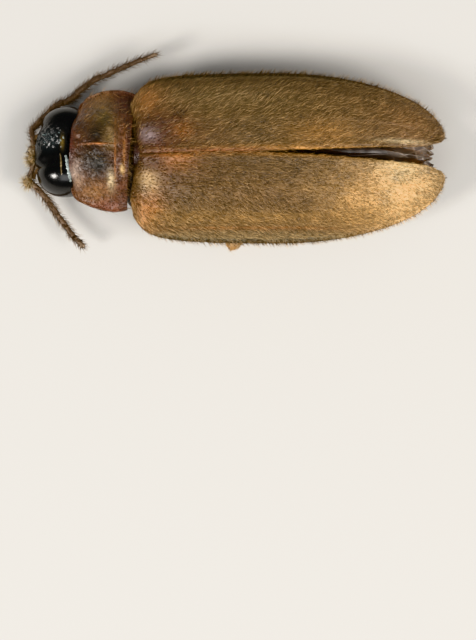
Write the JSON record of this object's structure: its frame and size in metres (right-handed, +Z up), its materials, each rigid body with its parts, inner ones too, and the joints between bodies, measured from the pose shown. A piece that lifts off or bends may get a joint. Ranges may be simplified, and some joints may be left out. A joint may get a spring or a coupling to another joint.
{
  "type": "dried male firefly specimen",
  "caption": "Life-size still model of a dried male firefly: dark eyes, brown haired wing cases, folded hind wings, pale light organs, folded legs and feelers.",
  "frame": {"origin": "on the floor, under the middle of the whole specimen's box", "axes": "+Z up out of the animal's back, -Y towards its head, +X towards its left side"},
  "size_m": [0.0056, 0.012, 0.0029],
  "materials": {
    "eye": "glossy dark compound eye, dried",
    "head": "glossy black head cuticle",
    "mouth": "dark brown hairy mouthparts",
    "palp": "dull pale brown palps",
    "antenna": "dull brown, bristly",
    "pronotum": "reddish brown, satin, with golden hairs",
    "prosternum": "glossy dark brown",
    "scutellum": "glossy dark reddish brown",
    "thorax": "brown with fine pale hairs",
    "elytron": "brown wing case under dense golden hairs, satin",
    "hind_wing": "dark smoky folded membrane",
    "abdomen": "orange brown ventrites",
    "light_organ_6": "tan cream light organ",
    "light_organ_7": "pale yellow light organ",
    "leg": "yellowish brown, satin, finely hairy",
    "tarsus": "dark brown feet"
  },
  "bodies": {
    "root": {"abdomen_base": "abdomen", "antenna_left_flagellum": "antenna", "antenna_left_scape": "antenna", "antenna_right_flagellum_1": "antenna", "antenna_right_flagellum_2": "antenna", "antenna_right_flagellum_3": "antenna", "antenna_right_scape": "antenna", "coxa_hind_left": "leg", "coxa_hind_right": "leg", "coxa_middle_left": "leg", "coxa_middle_right": "leg", "elytron_left": "elytron", "elytron_right": "elytron", "eye_left": "eye", "eye_right": "eye", "femur_hind_left": "leg", "femur_hind_right": "leg", "femur_middle_left": "leg", "femur_middle_right": "leg", "head_capsule": "head", "hind_wing_left": "hind_wing", "hind_wing_right": "hind_wing", "light_organ_6": "light_organ_6", "light_organ_7": "light_organ_7", "mesothorax": "thorax", "metathorax": "thorax", "mouthparts": "mouth", "palp_left": "palp", "palp_right": "palp", "pronotum": "pronotum", "prosternum": "prosternum", "scutellum": "scutellum", "tarsus_hind_left": "tarsus", "tarsus_hind_right": "tarsus", "tarsus_middle_left": "tarsus", "tarsus_middle_right": "tarsus", "tibia_hind_left": "leg", "tibia_hind_right": "leg", "tibia_middle_left": "leg", "tibia_middle_right": "leg"}
  },
  "joints": []
}
